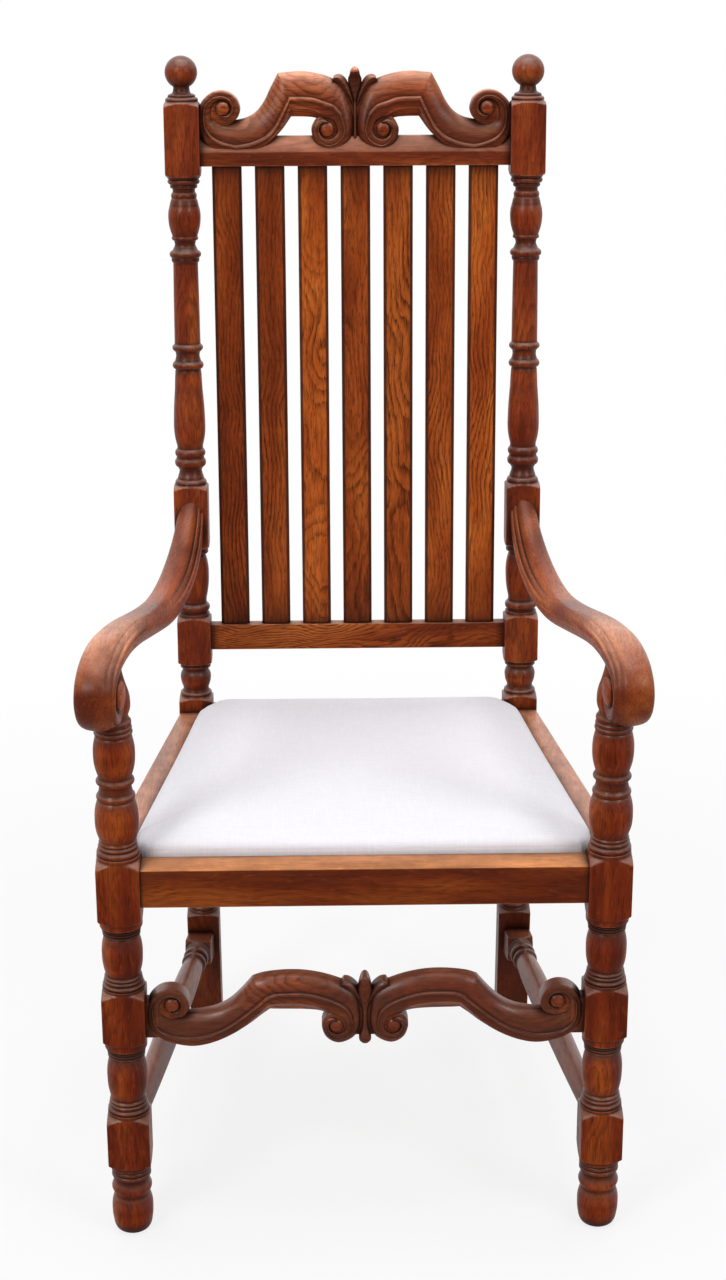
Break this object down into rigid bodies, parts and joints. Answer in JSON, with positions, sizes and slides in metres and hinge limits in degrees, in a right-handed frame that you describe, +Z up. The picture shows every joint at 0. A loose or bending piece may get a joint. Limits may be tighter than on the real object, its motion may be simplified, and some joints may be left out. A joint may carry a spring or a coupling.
{
  "type": "armchair",
  "caption": "High-backed oak armchair with turned legs and posts, slatted back between carved scroll rails, open scroll arms and a lift-out linen seat.",
  "frame": {"origin": "on the floor under the middle of the chair's overall width and depth", "axes": "+X to the right as seen from the front, +Y to the back, +Z up"},
  "size_m": [0.5836, 0.5779, 1.2168],
  "materials": {
    "oak": "stained and polished oak, darker in the turned and carved hollows, worn paler on the arms and the front rail",
    "beech": "plain unfinished beech, out of sight",
    "jute": "woven jute webbing",
    "wadding": "soft wadding under the cover",
    "linen": "pale grey-white plain-weave linen"
  },
  "bodies": {
    "chair_frame": {"front_leg_left": "oak", "front_leg_right": "oak", "rear_post_left": "oak", "rear_post_right": "oak", "front_seat_rail": "oak", "rear_seat_rail": "oak", "side_seat_rail_left": "oak", "side_seat_rail_right": "oak", "corner_block_front_left": "beech", "corner_block_front_right": "beech", "corner_block_rear_left": "beech", "corner_block_rear_right": "beech", "crest_rail": "oak", "lower_back_rail": "oak", "back_slat_1": "oak", "back_slat_2": "oak", "back_slat_3": "oak", "back_slat_4": "oak", "back_slat_5": "oak", "back_slat_6": "oak", "back_slat_7": "oak", "front_stretcher": "oak", "side_stretcher_left": "oak", "side_stretcher_right": "oak", "arm_left": "oak", "arm_right": "oak"},
    "drop_in_seat": {"seat_frame_front": "beech", "seat_frame_back": "beech", "seat_frame_left": "beech", "seat_frame_right": "beech", "seat_webbing": "jute", "seat_stuffing": "wadding", "seat_cover": "linen"}
  },
  "joints": [
    {"name": "seat_lift", "type": "slide", "parent": "chair_frame", "child": "drop_in_seat", "axis": [0, 0, 1], "range_m": [0, 0.09]}
  ]
}
